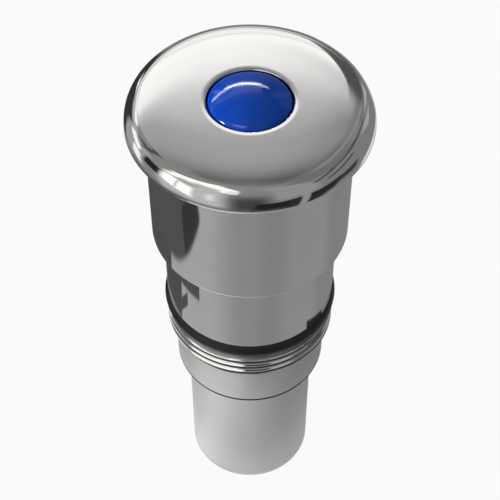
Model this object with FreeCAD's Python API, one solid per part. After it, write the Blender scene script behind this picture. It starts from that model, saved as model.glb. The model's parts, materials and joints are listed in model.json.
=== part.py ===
import FreeCAD, Part
import math
import os

Vector = FreeCAD.Vector
ORIGIN = Vector(0, 0, 0)
UP = Vector(0, 0, 1)

# Push-button self-closing valve, in millimetres.
# It stands on its foot at Z = 0 and everything is turned about the Z axis.
# Water enters the foot, passes the seat when the button is pushed, and leaves
# through the slot under the body's lip. A water dashpot slows the way back.

# Heights of the outside, added up from the foot
cup_height = 39.0
body_height = 12.9
thread_height = 6.7
ring_section = 2.1
sleeve_shown = 20.4
skirt_length = 32.3
crown_rise = 3.7

# Walls and gaps of the outside, added up from the bore of the cup
cup_bore = 12.3
cup_wall = 2.4
outlet_slot = 1.2
lip_wall = 1.4
thread_step = 1.7
sleeve_step = 0.23
ring_proud = 0.65
skirt_gap = 0.35
skirt_wall = 2.02
rim_overhang = 3.86

# The push button
travel = 8.0
stop_gap = 0.3
bead_round = 3.3
crease_inset = 3.0
plateau_power = 8
head_web = 3.2
recess_depth = 3.0
recess_wall_radius = 8.65
lip_round = 0.25
lip_drop = 0.19
lip_fade = 1.0
skirt_edge_round = 0.5
boss_radius = 6.5
boss_length = 7.0
socket_depth = 6.0

# The blue index in the middle of the button
dome_gap = 0.2
dome_edge_height = 2.9
dome_proud = 1.9
dome_roof = 1.3

# The screw that holds the button on its stem
screw_radius = 2.0
screw_depth = 9.0
screw_head_radius = 3.8
screw_head_height = 1.6
screw_hex_radius = 1.45
screw_hex_depth = 0.9
lock_washer_radius = 4.3
lock_washer_height = 0.5

# The stem
stem_radius = 3.0
stem_middle_radius = 2.5
stem_tail_radius = 2.0
stem_tail_reach = 1.4
stem_chamfer = 0.3

# The guide bush and the seals round the stem
bush_spigot_height = 3.0
bush_flange_height = 5.0
bush_nose_height = 2.5
bush_nose_radius = 6.6
bush_seat_wall = 2.0
bonnet_lower_run = 29.2
stem_seal_section = 0.75
stem_seal_pitch = 3.3
stem_seal_count = 2
bush_seal_section = 0.75

# Retaining rings
clip_height = 1.2
clip_bite = 0.75
clip_band = 1.9
clip_opening = 9.0
clip_eye_radius = 0.7
clip_ear_radius = 1.9
e_clip_height = 0.6
e_clip_radius = 5.0
e_clip_bite = 0.55
e_clip_window = 1.1

# The return spring and the cup that carries its upper end
wire_radius = 0.7
spring_radius = 8.4
spring_turns = 6.5
spring_cup_height = 1.05
spring_cup_rim = 1.5
spring_cup_wall = 1.0

# The dashpot
liner_bore = 10.5
liner_wall = 2.4
liner_seal_section = 0.6
liner_seal_inset = 3.0
piston_height = 3.5
piston_gap = 0.4
lip_seal_base = 1.2
lip_seal_rise = 3.2
lip_seal_wall = 0.9
lip_seal_lean = 0.5
retainer_height = 1.0
retainer_radius = 7.6
dashpot_headroom = 1.8
jet_radius = 1.2
jet_offset = 5.4
jet_length = 6.6
jet_bore = 0.35

# The lower body: neck, ports and web of the cup
spigot_height = 5.3
spigot_wall = 2.05
neck_height = 8.7
neck_seal_section = 0.75
neck_seal_inset = 2.9
port_radius = 1.6
port_count = 10
port_drop = 4.0
web_height = 3.0
web_level = 27.0
foot_chamfer = 0.25

# The valve seat and the closing washer
seat_bore = 5.6
seat_spigot_wall = 2.35
seat_flange_step = 1.6
seat_flange_height = 1.2
seat_spigot_height = 4.0
seat_nose_height = 0.8
seat_nose_width = 0.8
seat_nose_inset = 0.6
seat_seal_section = 0.7
closing_gap = 0.05
washer_height = 3.0
washer_overlap = 1.2
plate_height = 1.6
plate_rim_wall = 0.8
plate_rim_rise = 1.6
clamp_washer_height = 0.7
clamp_washer_radius = 4.2
nut_flat = 4.0
nut_height = 3.4
nut_chamfer = 0.35

# The inlet in the foot
plug_height = 9.0
inlet_radius = 6.5
inlet_shoulder = 1.0
strainer_level = 5.2
strainer_height = 0.8
strainer_hole = 0.45
strainer_pitch = 1.35
strainer_rings = 4
inlet_clip_height = 0.9
inlet_clip_band = 0.9
inlet_clip_bite = 0.5
plug_seal_section = 0.75
plug_seal_level = 6.4
spanner_hole_radius = 1.0
spanner_hole_offset = 9.6
spanner_hole_depth = 3.0

# Clearances
running_gap = 0.04
screw_fit = 0.05
seal_touch = 0.03
groove_room = 0.2
face_gap = 0.05

# Levels that follow from the heights
lip_level = cup_height
thread_level = lip_level + body_height
ring_low = thread_level + thread_height
ring_high = ring_low + 2 * ring_section
skirt_low = ring_high + sleeve_shown
rim_level = skirt_low + skirt_length
crease_level = rim_level + math.sqrt(bead_round ** 2 - (bead_round - crease_inset) ** 2)
plateau_level = rim_level + crown_rise
recess_floor = plateau_level - recess_depth
head_underside = recess_floor - head_web
boss_low = head_underside - boss_length
socket_top = boss_low + socket_depth
bonnet_top = head_underside - travel - stop_gap
spigot_low = thread_level - spigot_height
neck_top = spigot_low + neck_height
bush_low = spigot_low + bonnet_lower_run
bush_flange_low = bush_low + bush_spigot_height
bush_flange_high = bush_flange_low + bush_flange_height
bush_nose_top = bush_flange_high + bush_nose_height
retainer_high = bush_low - dashpot_headroom
retainer_low = retainer_high - retainer_height
piston_high = retainer_low - lip_seal_base
piston_low = piston_high - piston_height
spring_cup_low = boss_low - face_gap - spring_cup_height
seat_low = web_level - seat_flange_height - seat_nose_height
washer_high = seat_low - closing_gap
washer_low = washer_high - washer_height
plate_low = washer_low - plate_height
nut_low = plate_low - nut_height
stem_low = nut_low - stem_tail_reach
clamp_washer_high = washer_high + clamp_washer_height

# Radii that follow from the walls
cup_radius = cup_bore + cup_wall
lip_bore = cup_radius + outlet_slot
body_radius = lip_bore + lip_wall
thread_radius = body_radius + thread_step
sleeve_radius = thread_radius - sleeve_step
ring_mean = sleeve_radius + ring_proud - ring_section
skirt_bore = sleeve_radius + skirt_gap
skirt_radius = skirt_bore + skirt_wall
cap_radius = skirt_radius + rim_overhang
bead_centre = cap_radius - bead_round
crease_radius = cap_radius - crease_inset
dome_radius = recess_wall_radius - dome_gap
liner_radius = liner_bore + liner_wall
bonnet_bore = liner_radius + screw_fit
spigot_radius = bonnet_bore + spigot_wall
spring_room_radius = sleeve_radius - bush_seat_wall
bush_flange_radius = spring_room_radius - running_gap
seat_spigot_radius = seat_bore + seat_spigot_wall
seat_flange_radius = seat_spigot_radius + seat_flange_step
nose_radius = seat_bore + seat_nose_inset
washer_radius = nose_radius + seat_nose_width + washer_overlap
plug_radius = cup_bore - screw_fit


def point(radius, height):
    return Vector(radius, 0, height)


def corner_cut(before, here, after, rounding):
    """Where a rounded corner starts, its middle, and where it ends."""
    back = (before - here).normalize()
    onward = (after - here).normalize()
    half_angle = back.getAngle(onward) / 2
    reach = rounding / math.tan(half_angle)
    inward = (back + onward).normalize()
    depth = rounding / math.sin(half_angle) - rounding
    return here + back * reach, here + inward * depth, here + onward * reach


def outline(*corners):
    """Closed edges through (radius, height) corners; a third number rounds the corner."""
    points = [point(corner[0], corner[1]) for corner in corners]
    count = len(points)
    edges = []
    arrivals = []
    departures = []
    for index, corner in enumerate(corners):
        here = points[index]
        if len(corner) < 3:
            arrivals.append(here)
            departures.append(here)
            continue
        start, middle, end = corner_cut(points[index - 1], here, points[(index + 1) % count], corner[2])
        edges.append(Part.Arc(start, middle, end).toShape())
        arrivals.append(start)
        departures.append(end)
    for index in range(count):
        start = departures[index]
        end = arrivals[(index + 1) % count]
        edges.append(Part.LineSegment(start, end).toShape())
    return edges


def turned(edges):
    """The solid that closed edges sweep in a full turn about the axis."""
    wire = Part.Wire(Part.__sortEdges__(edges))
    return Part.Face(wire).revolve(ORIGIN, UP, 360)


def tube(bore, radius, low, high):
    return turned(outline((bore, low), (radius, low), (radius, high), (bore, high)))


def rod(radius, low, high):
    return Part.makeCylinder(radius, high - low, Vector(0, 0, low))


def around(count, start=0.0):
    """Angles in degrees of evenly spaced copies."""
    return [start + 360.0 * index / count for index in range(count)]


def turned_copy(shape, angle):
    copy = shape.copy()
    copy.rotate(ORIGIN, UP, angle)
    return copy


def o_ring(mean, section, level):
    return Part.makeTorus(mean, section, Vector(0, 0, level))


def outer_groove(mean, section, level, wall):
    """Room for a seal in the outside of a wall."""
    half = section + groove_room / 2
    return tube(mean - section, wall + section, level - half, level + half)


def inner_groove(mean, section, level, wall):
    """Room for a seal in the inside of a wall."""
    half = section + groove_room / 2
    return tube(wall - section, mean + section, level - half, level + half)


def sealed_inside(wall, section):
    """Mean radius of a seal that sits on a shaft and just meets the bore round it."""
    return wall - seal_touch - section


# The moving button, from the top down

def plateau_height(radius):
    """The flat top falls away gently and then faster towards the crease, and rolls a little into the recess."""
    share = radius / crease_radius
    crowned = plateau_level - (plateau_level - crease_level) * share ** plateau_power
    return crowned - lip_drop * math.exp((recess_wall_radius - radius) / lip_fade)


def plateau_edge():
    """The line of the top from the recess to the crease where the bead begins."""
    inner = recess_wall_radius + lip_round
    steps = 24
    points = []
    for step in range(steps + 1):
        radius = inner + (crease_radius - inner) * step / steps
        points.append(point(radius, plateau_height(radius)))
    line = Part.BSplineCurve()
    line.interpolate(points)
    return line.toShape(), points[0], points[-1]


def button_cap():
    """Mushroom head, bead and long skirt, turned from one piece."""
    top_line, top_start, crease = plateau_edge()
    bead_low = point(bead_centre, rim_level - bead_round)
    skirt_top = point(skirt_radius, rim_level - bead_round)
    edge_start = point(skirt_radius, skirt_low + skirt_edge_round)
    edge_end = point(skirt_radius - skirt_edge_round, skirt_low)
    slant = math.sqrt(0.5)
    edge_middle = point(skirt_radius - skirt_edge_round * (1 - slant), skirt_low + skirt_edge_round * (1 - slant))
    lip_end = point(recess_wall_radius, top_start.z - lip_round)
    lip_middle = point(top_start.x - lip_round * slant, top_start.z - lip_round * (1 - slant))
    corners = [
        point(recess_wall_radius, recess_floor),
        point(screw_radius + screw_fit, recess_floor),
        point(screw_radius + screw_fit, socket_top),
        point(stem_radius + screw_fit, socket_top),
        point(stem_radius + screw_fit, boss_low),
        point(boss_radius, boss_low),
        point(boss_radius, head_underside),
        point(skirt_bore, head_underside),
        point(skirt_bore, skirt_low),
        edge_end,
    ]
    edges = [
        top_line,
        Part.Arc(crease, point(cap_radius, rim_level), bead_low).toShape(),
        Part.LineSegment(bead_low, skirt_top).toShape(),
        Part.LineSegment(skirt_top, edge_start).toShape(),
        Part.Arc(edge_start, edge_middle, edge_end).toShape(),
        Part.Arc(top_start, lip_middle, lip_end).toShape(),
        Part.LineSegment(lip_end, corners[0]).toShape(),
    ]
    for start, end in zip(corners, corners[1:]):
        edges.append(Part.LineSegment(start, end).toShape())
    return turned(edges)


def index_dome():
    """The crowned blue button in the recess, hollow over the screw."""
    crown = plateau_level + dome_proud
    edge_level = recess_floor + dome_edge_height
    hollow = lock_washer_radius + dome_gap
    floor = recess_floor + face_gap
    roof = crown - dome_roof
    rise = crown - edge_level
    ball_radius = (dome_radius ** 2 + rise ** 2) / (2 * rise)
    middle_radius = dome_radius / 2
    middle_level = crown - ball_radius + math.sqrt(ball_radius ** 2 - middle_radius ** 2)
    corners = [
        point(0, crown),
        point(0, roof),
        point(hollow, roof),
        point(hollow, floor),
        point(dome_radius, floor),
        point(dome_radius, edge_level),
    ]
    edges = [Part.Arc(corners[-1], point(middle_radius, middle_level), corners[0]).toShape()]
    for start, end in zip(corners, corners[1:]):
        edges.append(Part.LineSegment(start, end).toShape())
    return turned(edges)


def cap_screw():
    """Pan head screw with a hexagon socket, down into the stem."""
    seat = recess_floor + lock_washer_height
    top = seat + screw_head_height
    tip = socket_top - screw_depth
    body = turned(outline(
        (0, tip),
        (screw_radius - stem_chamfer, tip),
        (screw_radius, tip + stem_chamfer),
        (screw_radius, seat),
        (screw_head_radius, seat),
        (screw_head_radius, top, screw_head_height / 2),
        (0, top),
    ))
    socket = hexagon(screw_hex_radius, top - screw_hex_depth, screw_hex_depth)
    return body.cut(socket)


def lock_washer():
    return tube(screw_radius + screw_fit, lock_washer_radius, recess_floor, recess_floor + lock_washer_height)


def hexagon(flat, low, height):
    """Six-sided prism whose flats lie at this distance from the axis."""
    corner_radius = flat / math.cos(math.pi / 6)
    corners = []
    for angle in around(6):
        turn = math.radians(angle)
        corners.append(Vector(corner_radius * math.cos(turn), corner_radius * math.sin(turn), low))
    corners.append(corners[0])
    return Part.Face(Part.makePolygon(corners)).extrude(UP * height)


def plunger_stem():
    """Stepped rod: the button on top, the dashpot piston in the middle, the valve below."""
    body = turned(outline(
        (0, stem_low),
        (stem_tail_radius - stem_chamfer, stem_low),
        (stem_tail_radius, stem_low + stem_chamfer),
        (stem_tail_radius, clamp_washer_high),
        (stem_middle_radius, clamp_washer_high),
        (stem_middle_radius, retainer_high),
        (stem_radius, retainer_high),
        (stem_radius, socket_top - stem_chamfer),
        (stem_radius - stem_chamfer, socket_top),
        (0, socket_top),
    ))
    tapped = rod(screw_radius + screw_fit, socket_top - screw_depth - stem_chamfer, socket_top)
    groove_floor = stem_middle_radius - e_clip_bite
    groove = tube(groove_floor, stem_radius, piston_low - e_clip_height - face_gap, piston_low)
    return body.cut(tapped).cut(groove)


def spring_cup():
    """Pressed cup under the boss: it carries the spring and lets the button turn on it."""
    rim = spring_radius + wire_radius + skirt_gap + spring_cup_wall
    top = spring_cup_low + spring_cup_height
    low = spring_cup_low - spring_cup_rim
    return turned(outline(
        (stem_radius + 2 * running_gap, spring_cup_low),
        (rim - spring_cup_wall, spring_cup_low),
        (rim - spring_cup_wall, low),
        (rim, low),
        (rim, top, spring_cup_wall / 2),
        (stem_radius + 2 * running_gap, top),
    ))


def return_spring():
    """Wound wire between the bush and the spring cup, ground flat at both ends."""
    low = bush_flange_high
    high = spring_cup_low
    rise = high - low
    pitch = rise / spring_turns
    path = Part.makeHelix(pitch, rise, spring_radius)
    path.translate(Vector(0, 0, low))
    ring = Part.Wire(Part.makeCircle(wire_radius, Vector(spring_radius, 0, low), Vector(0, 1, 0)))
    wound = Part.Wire(path).makePipeShell([ring], True, True)
    slab = rod(spring_radius + 2 * wire_radius, low, high)
    return wound.common(slab)


# The dashpot on the stem

def piston():
    body = tube(stem_middle_radius + running_gap, liner_bore - piston_gap, piston_low, piston_high)
    return body.cut(jet_hole())


def lip_seal():
    """Rubber cup whose lip leans out to the liner; it lets water pass on the way down only."""
    base_radius = liner_bore - piston_gap
    lip_top = piston_high + lip_seal_rise
    lip_radius = liner_bore - seal_touch
    body = turned(outline(
        (stem_middle_radius + running_gap, piston_high),
        (base_radius - lip_seal_lean, piston_high),
        (base_radius, piston_high + lip_seal_lean),
        (lip_radius, lip_top - lip_seal_lean),
        (lip_radius - lip_seal_wall / 2, lip_top),
        (base_radius - lip_seal_wall, piston_high + lip_seal_base),
        (stem_middle_radius + running_gap, piston_high + lip_seal_base),
    ))
    return body.cut(jet_hole())


def seal_retainer():
    body = tube(stem_middle_radius + running_gap, retainer_radius, retainer_low, retainer_high)
    return body.cut(jet_hole())


def jet_hole():
    hole = rod(jet_radius + running_gap, piston_low - jet_length, retainer_high + jet_length)
    return hole.translate(Vector(jet_offset, 0, 0))


def metering_jet():
    """Bored brass peg through the piston: water above the piston leaves slowly through it."""
    low = piston_low + stem_chamfer
    body = rod(jet_radius, low, low + jet_length)
    body = body.cut(rod(jet_bore, low, low + jet_length))
    return body.translate(Vector(jet_offset, 0, 0))


def e_clip():
    """Snap ring with three teeth, pushed sideways into the groove of the stem."""
    high = piston_low
    low = high - e_clip_height
    ring = tube(stem_middle_radius - e_clip_bite + running_gap, e_clip_radius, low, high)
    mouth = Part.makeBox(e_clip_radius, 2 * (stem_tail_radius - e_clip_bite), e_clip_height)
    mouth.translate(Vector(0, e_clip_bite - stem_tail_radius, low))
    ring = ring.cut(mouth)
    window = rod(e_clip_window, low, high)
    window.translate(Vector(stem_middle_radius + e_clip_window / 2, 0, 0))
    for angle in (90, 270):
        ring = ring.cut(turned_copy(window, angle))
    return ring


def dashpot_liner():
    """Plastic cylinder that the piston works in, open below and closed by the bush above."""
    body = tube(liner_bore, liner_radius, neck_top, bush_low)
    mean = sealed_inside(bonnet_bore, liner_seal_section)
    return body.cut(outer_groove(mean, liner_seal_section, liner_seal_level(), liner_radius))


def liner_seal_level():
    return bush_low - liner_seal_inset


def liner_seal():
    return o_ring(sealed_inside(bonnet_bore, liner_seal_section), liner_seal_section, liner_seal_level())


# The guide bush on top of the dashpot

def stem_seal_levels():
    low = bush_low + stem_seal_pitch / 2
    return [low + stem_seal_pitch * index for index in range(stem_seal_count)]


def stem_seal_mean():
    return stem_radius + seal_touch + stem_seal_section


def guide_bush():
    """Brass bush that guides the stem, closes the dashpot and carries the spring."""
    bore = stem_radius + running_gap
    body = turned(outline(
        (bore, bush_low),
        (liner_radius, bush_low),
        (liner_radius, bush_flange_low),
        (bush_flange_radius, bush_flange_low),
        (bush_flange_radius, bush_flange_high),
        (bush_nose_radius, bush_flange_high),
        (bush_nose_radius, bush_nose_top, stem_chamfer),
        (bore, bush_nose_top),
    ))
    for level in stem_seal_levels():
        body = body.cut(inner_groove(stem_seal_mean(), stem_seal_section, level, stem_radius))
    return body.cut(outer_groove(bush_seal_mean(), bush_seal_section, bush_seal_level(), bush_flange_radius))


def bush_seal_level():
    return (bush_flange_low + bush_flange_high) / 2


def bush_seal_mean():
    return sealed_inside(spring_room_radius, bush_seal_section)


def bush_seal():
    return o_ring(bush_seal_mean(), bush_seal_section, bush_seal_level())


def stem_seals():
    rings = [o_ring(stem_seal_mean(), stem_seal_section, level) for level in stem_seal_levels()]
    return Part.makeCompound(rings)


def bush_clip():
    """Internal retaining ring with two eyes, sprung into the groove above the bush."""
    low = bush_flange_high + face_gap
    high = low + clip_height
    radius = spring_room_radius + clip_bite - face_gap
    bore = spring_room_radius - clip_band
    ring = tube(bore, radius, low, high)
    mouth = Part.makeBox(radius, clip_opening, clip_height)
    mouth.translate(Vector(0, -clip_opening / 2, low))
    ring = ring.cut(mouth)
    spread = math.degrees(math.asin((clip_opening / 2 + clip_ear_radius) / bore))
    ear = rod(clip_ear_radius, low, high).translate(Vector(bore, 0, 0))
    eye = rod(clip_eye_radius, low, high).translate(Vector(bore, 0, 0))
    for angle in (-spread, spread):
        ring = ring.fuse(turned_copy(ear, angle))
    for angle in (-spread, spread):
        ring = ring.cut(turned_copy(eye, angle))
    return ring.removeSplitter()


# The chromed bonnet that everything hangs in

def bonnet():
    """Guide sleeve above, sealing groove, male thread, and the spigot for the body below."""
    groove_floor = ring_mean - ring_section
    clip_low = bush_flange_high
    clip_high = clip_low + clip_height + 2 * face_gap
    clip_floor = spring_room_radius + clip_bite
    return turned(outline(
        (bonnet_bore, spigot_low),
        (spigot_radius, spigot_low),
        (spigot_radius, thread_level),
        (thread_radius - stem_chamfer, thread_level),
        (thread_radius, thread_level + stem_chamfer),
        (thread_radius, ring_low),
        (groove_floor, ring_low),
        (groove_floor, ring_high),
        (sleeve_radius, ring_high),
        (sleeve_radius, bonnet_top, stem_chamfer),
        (spring_room_radius, bonnet_top, stem_chamfer),
        (spring_room_radius, clip_high),
        (clip_floor, clip_high),
        (clip_floor, clip_low),
        (spring_room_radius, clip_low),
        (spring_room_radius, bush_flange_low),
        (bonnet_bore, bush_flange_low),
    ))


def flange_ring():
    """Black rubber ring above the thread, which seals on the tap's rim."""
    return o_ring(ring_mean, ring_section, (ring_low + ring_high) / 2)


# The satin body below the thread

def upper_body():
    """Shroud screwed on the bonnet's spigot; its lip leaves the outlet slot round the cup."""
    return turned(outline(
        (lip_bore, lip_level),
        (body_radius, lip_level, foot_chamfer),
        (body_radius, thread_level, foot_chamfer),
        (spigot_radius + screw_fit, thread_level),
        (spigot_radius + screw_fit, spigot_low),
        (lip_bore, spigot_low),
    ))


def neck_seal_level():
    return spigot_low + neck_seal_inset


def lower_cup():
    """Long cup with a screwed neck, a ring of outlet ports and a web that holds the seat."""
    mean = sealed_inside(bonnet_bore, neck_seal_section)
    shoulder = spigot_low - cup_wall
    body = turned(outline(
        (cup_bore, 0),
        (cup_radius, 0, foot_chamfer),
        (cup_radius, spigot_low),
        (liner_radius, spigot_low),
        (liner_radius, neck_top),
        (liner_bore, neck_top),
        (liner_bore, shoulder + (cup_bore - liner_bore)),
        (cup_bore, shoulder),
        (cup_bore, web_level + web_height),
        (seat_spigot_radius + screw_fit, web_level + web_height),
        (seat_spigot_radius + screw_fit, web_level),
        (cup_bore, web_level),
    ))
    body = body.cut(outer_groove(mean, neck_seal_section, neck_seal_level(), liner_radius))
    port_level = Vector(0, 0, spigot_low - port_drop)
    drill = Part.makeCylinder(port_radius, cup_radius + port_radius, port_level, Vector(1, 0, 0))
    half_step = 180.0 / port_count
    drills = [turned_copy(drill, angle) for angle in around(port_count, half_step)]
    return body.cut(drills)


def neck_seal():
    return o_ring(sealed_inside(bonnet_bore, neck_seal_section), neck_seal_section, neck_seal_level())


# The valve

def seat_seal_level():
    return web_level + web_height / 2


def seat_seal_mean():
    return sealed_inside(seat_spigot_radius + screw_fit, seat_seal_section)


def seat_ring():
    """Steel seat screwed up into the web, with a raised nose that the rubber closes on."""
    flange_low = web_level - seat_flange_height
    nose_slope = seat_nose_height / 2
    body = turned(outline(
        (seat_bore, flange_low),
        (nose_radius, flange_low),
        (nose_radius + nose_slope / 2, seat_low, nose_slope / 4),
        (nose_radius + seat_nose_width, seat_low, nose_slope / 4),
        (nose_radius + seat_nose_width + nose_slope / 2, flange_low),
        (seat_flange_radius, flange_low),
        (seat_flange_radius, web_level),
        (seat_spigot_radius, web_level),
        (seat_spigot_radius, web_level + seat_spigot_height),
        (seat_bore, web_level + seat_spigot_height, stem_chamfer),
    ))
    return body.cut(outer_groove(seat_seal_mean(), seat_seal_section, seat_seal_level(), seat_spigot_radius))


def seat_seal():
    return o_ring(seat_seal_mean(), seat_seal_section, seat_seal_level())


def valve_washer():
    return tube(stem_tail_radius + running_gap, washer_radius, washer_low, washer_high)


def valve_plate():
    """Shallow brass dish that backs the rubber washer."""
    rim = washer_radius + running_gap
    return turned(outline(
        (stem_tail_radius + running_gap, plate_low),
        (rim + plate_rim_wall, plate_low, plate_rim_wall / 2),
        (rim + plate_rim_wall, washer_low + plate_rim_rise),
        (rim, washer_low + plate_rim_rise),
        (rim, washer_low),
        (stem_tail_radius + running_gap, washer_low),
    ))


def clamp_washer():
    return tube(stem_tail_radius + running_gap, clamp_washer_radius, washer_high, clamp_washer_high)


def valve_nut():
    """Hexagon nut, chamfered at both faces."""
    corner = nut_flat / math.cos(math.pi / 6)
    blank = hexagon(nut_flat, nut_low, nut_height)
    envelope = turned(outline(
        (stem_tail_radius + screw_fit, nut_low),
        (corner - nut_chamfer, nut_low),
        (corner, nut_low + nut_chamfer),
        (corner, plate_low - nut_chamfer),
        (corner - nut_chamfer, plate_low),
        (stem_tail_radius + screw_fit, plate_low),
    ))
    return blank.common(envelope)


# The inlet

def inlet_plug():
    """Screwed plug in the foot: it holds the strainer, and a face spanner turns it."""
    throat = inlet_radius - inlet_shoulder
    shoulder = strainer_level + strainer_height
    clip_low = strainer_level - inlet_clip_height - 2 * face_gap
    groove = inlet_radius + inlet_clip_bite
    body = turned(outline(
        (inlet_radius, 0, foot_chamfer),
        (plug_radius, 0),
        (plug_radius, plug_height),
        (throat, plug_height),
        (throat, shoulder),
        (inlet_radius, shoulder),
        (inlet_radius, strainer_level),
        (groove, strainer_level),
        (groove, clip_low),
        (inlet_radius, clip_low),
    ))
    body = body.cut(outer_groove(plug_seal_mean(), plug_seal_section, plug_seal_level, plug_radius))
    hole = rod(spanner_hole_radius, 0, spanner_hole_depth).translate(Vector(spanner_hole_offset, 0, 0))
    for angle in around(2):
        body = body.cut(turned_copy(hole, angle))
    return body


def plug_seal_mean():
    return sealed_inside(cup_bore, plug_seal_section)


def plug_seal():
    return o_ring(plug_seal_mean(), plug_seal_section, plug_seal_level)


def strainer():
    """Perforated disc; its holes lie on rings of six, twelve and so on about the middle one."""
    low = strainer_level
    high = low + strainer_height
    disc = rod(inlet_radius - face_gap, low, high)
    drills = [rod(strainer_hole, low, high)]
    for ring in range(1, strainer_rings):
        for angle in around(6 * ring):
            hole = rod(strainer_hole, low, high).translate(Vector(strainer_pitch * ring, 0, 0))
            drills.append(turned_copy(hole, angle))
    return disc.cut(Part.makeCompound(drills))


def inlet_clip():
    """Open wire ring under the strainer."""
    high = strainer_level - face_gap
    low = high - inlet_clip_height
    ring = tube(inlet_radius - inlet_clip_band, inlet_radius + inlet_clip_bite - face_gap, low, high)
    mouth = Part.makeBox(2 * inlet_radius, 2 * inlet_clip_band, inlet_clip_height)
    mouth.translate(Vector(0, -inlet_clip_band, low))
    return ring.cut(mouth)


PIECES = {
    "button_cap": button_cap,
    "index_dome": index_dome,
    "cap_screw": cap_screw,
    "lock_washer": lock_washer,
    "plunger_stem": plunger_stem,
    "spring_cup": spring_cup,
    "return_spring": return_spring,
    "piston": piston,
    "lip_seal": lip_seal,
    "seal_retainer": seal_retainer,
    "metering_jet": metering_jet,
    "piston_clip": e_clip,
    "dashpot_liner": dashpot_liner,
    "liner_seal": liner_seal,
    "guide_bush": guide_bush,
    "bush_seal": bush_seal,
    "stem_seals": stem_seals,
    "bush_clip": bush_clip,
    "bonnet": bonnet,
    "flange_ring": flange_ring,
    "upper_body": upper_body,
    "lower_cup": lower_cup,
    "neck_seal": neck_seal,
    "seat_ring": seat_ring,
    "seat_seal": seat_seal,
    "valve_washer": valve_washer,
    "valve_plate": valve_plate,
    "clamp_washer": clamp_washer,
    "valve_nut": valve_nut,
    "inlet_plug": inlet_plug,
    "plug_seal": plug_seal,
    "strainer": strainer,
    "inlet_clip": inlet_clip,
}

os.makedirs("parts", exist_ok=True)
for name, make in PIECES.items():
    make().exportStep("parts/" + name + ".step")
print("bonnet thread radius", round(thread_radius, 3), "cap radius", round(cap_radius, 3))
print("rim level", round(rim_level, 3), "top", round(plateau_level + dome_proud, 3))
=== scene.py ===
import json
import math

import bmesh
import bpy
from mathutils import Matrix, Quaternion, Vector


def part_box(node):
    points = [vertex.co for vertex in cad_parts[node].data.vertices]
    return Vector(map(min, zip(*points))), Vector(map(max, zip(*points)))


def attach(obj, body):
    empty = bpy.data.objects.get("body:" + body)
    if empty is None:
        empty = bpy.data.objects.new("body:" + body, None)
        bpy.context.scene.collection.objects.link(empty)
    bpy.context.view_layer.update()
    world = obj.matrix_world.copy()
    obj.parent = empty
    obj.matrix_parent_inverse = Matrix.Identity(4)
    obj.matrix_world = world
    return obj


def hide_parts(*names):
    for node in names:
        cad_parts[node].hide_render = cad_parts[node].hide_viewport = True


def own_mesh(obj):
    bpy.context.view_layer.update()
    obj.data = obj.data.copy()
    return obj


# Push-button self-closing valve: a turned cartridge that stands on its foot.
# Lengths are in millimetres until a mesh, a node input or a light is made, which are in metres.

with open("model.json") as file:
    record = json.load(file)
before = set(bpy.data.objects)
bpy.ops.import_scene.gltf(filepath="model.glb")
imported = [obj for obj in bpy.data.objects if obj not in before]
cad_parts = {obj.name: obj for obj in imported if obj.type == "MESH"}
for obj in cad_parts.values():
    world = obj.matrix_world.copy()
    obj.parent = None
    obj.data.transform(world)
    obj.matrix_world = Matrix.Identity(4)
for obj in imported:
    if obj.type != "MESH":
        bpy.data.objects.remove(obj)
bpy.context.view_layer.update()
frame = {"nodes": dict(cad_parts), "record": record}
MM = 0.001


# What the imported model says

def reach(node):
    """How far a node reaches from the turning axis."""
    return max(math.hypot(v.co.x, v.co.y) for v in frame["nodes"][node].data.vertices) / MM


def low(node):
    """The level of a node's lower end."""
    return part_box(node)[0].z / MM


def high(node):
    """The level of a node's upper end."""
    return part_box(node)[1].z / MM


# Sizes of the button
cap_radius = reach("button_cap")
skirt_low = low("button_cap")
plateau_level = high("button_cap")
crown_rise = 3.7
bead_round = 3.3
bead_drop = 1.15
bead_under = 1.5
bead_power = 2.2
bead_steps = 36
crease_inset = 3.0
plateau_power = 8
rim_overhang = 3.86
skirt_wall = 2.02
skirt_edge_round = 0.5
neck_round = 0.35
recess_depth = 3.0
recess_wall_radius = 8.65
recess_corner = 0.3
lip_round = 0.3
lip_drop = 0.14
lip_reach = 1.35
head_web = 3.2
boss_radius = 6.5
boss_length = 7.0
socket_depth = 6.0
screw_bore = 2.05
stem_bore = 3.05
rim_level = plateau_level - crown_rise
skirt_radius = cap_radius - rim_overhang
skirt_bore = skirt_radius - skirt_wall
bead_centre = cap_radius - bead_round
crease_radius = cap_radius - crease_inset
crease_level = rim_level + math.sqrt(bead_round ** 2 - (crease_radius - bead_centre) ** 2)
bead_level = rim_level - bead_drop
neck_level = bead_level - bead_under
recess_floor = plateau_level - recess_depth
head_underside = recess_floor - head_web
boss_low = head_underside - boss_length
socket_top = boss_low + socket_depth

# Sizes of the index
dome_radius = reach("index_dome")
dome_floor = low("index_dome")
dome_crown = high("index_dome")
dome_seat_gap = 0.05
dome_edge_height = 2.9
dome_edge_round = 1.5
dome_hollow = 4.5
dome_roof = 1.3

# Sizes of the bonnet and its thread
sleeve_wall = 2.0
sleeve_radius = 18.77
sleeve_edge = 0.3
thread_radius = reach("bonnet")
thread_level = high("upper_body")
spigot_low = low("bonnet")
bonnet_top = high("bonnet")
bonnet_bore = 12.95
spigot_radius = 15.0
ring_low = low("flange_ring")
ring_high = high("flange_ring")
ring_section = (ring_high - ring_low) / 2
ring_level = (ring_high + ring_low) / 2
ring_mean = reach("flange_ring") - ring_section
groove_tuck = 0.1
bush_spigot_length = 3.0
bush_boss_rise = 2.5
bush_flange_low = low("guide_bush") + bush_spigot_length
clip_groove = 1.3
clip_bite = 0.75
clip_low = high("guide_bush") - bush_boss_rise
clip_high = clip_low + clip_groove
thread_pitch = 2.0
thread_depth = 0.8
thread_crest = ring_low - 0.2
thread_core = 17.3
thread_bore = 16.2
thread_end_radius = 18.35
thread_relief = ring_low - 0.3
root_share = 0.75
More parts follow.
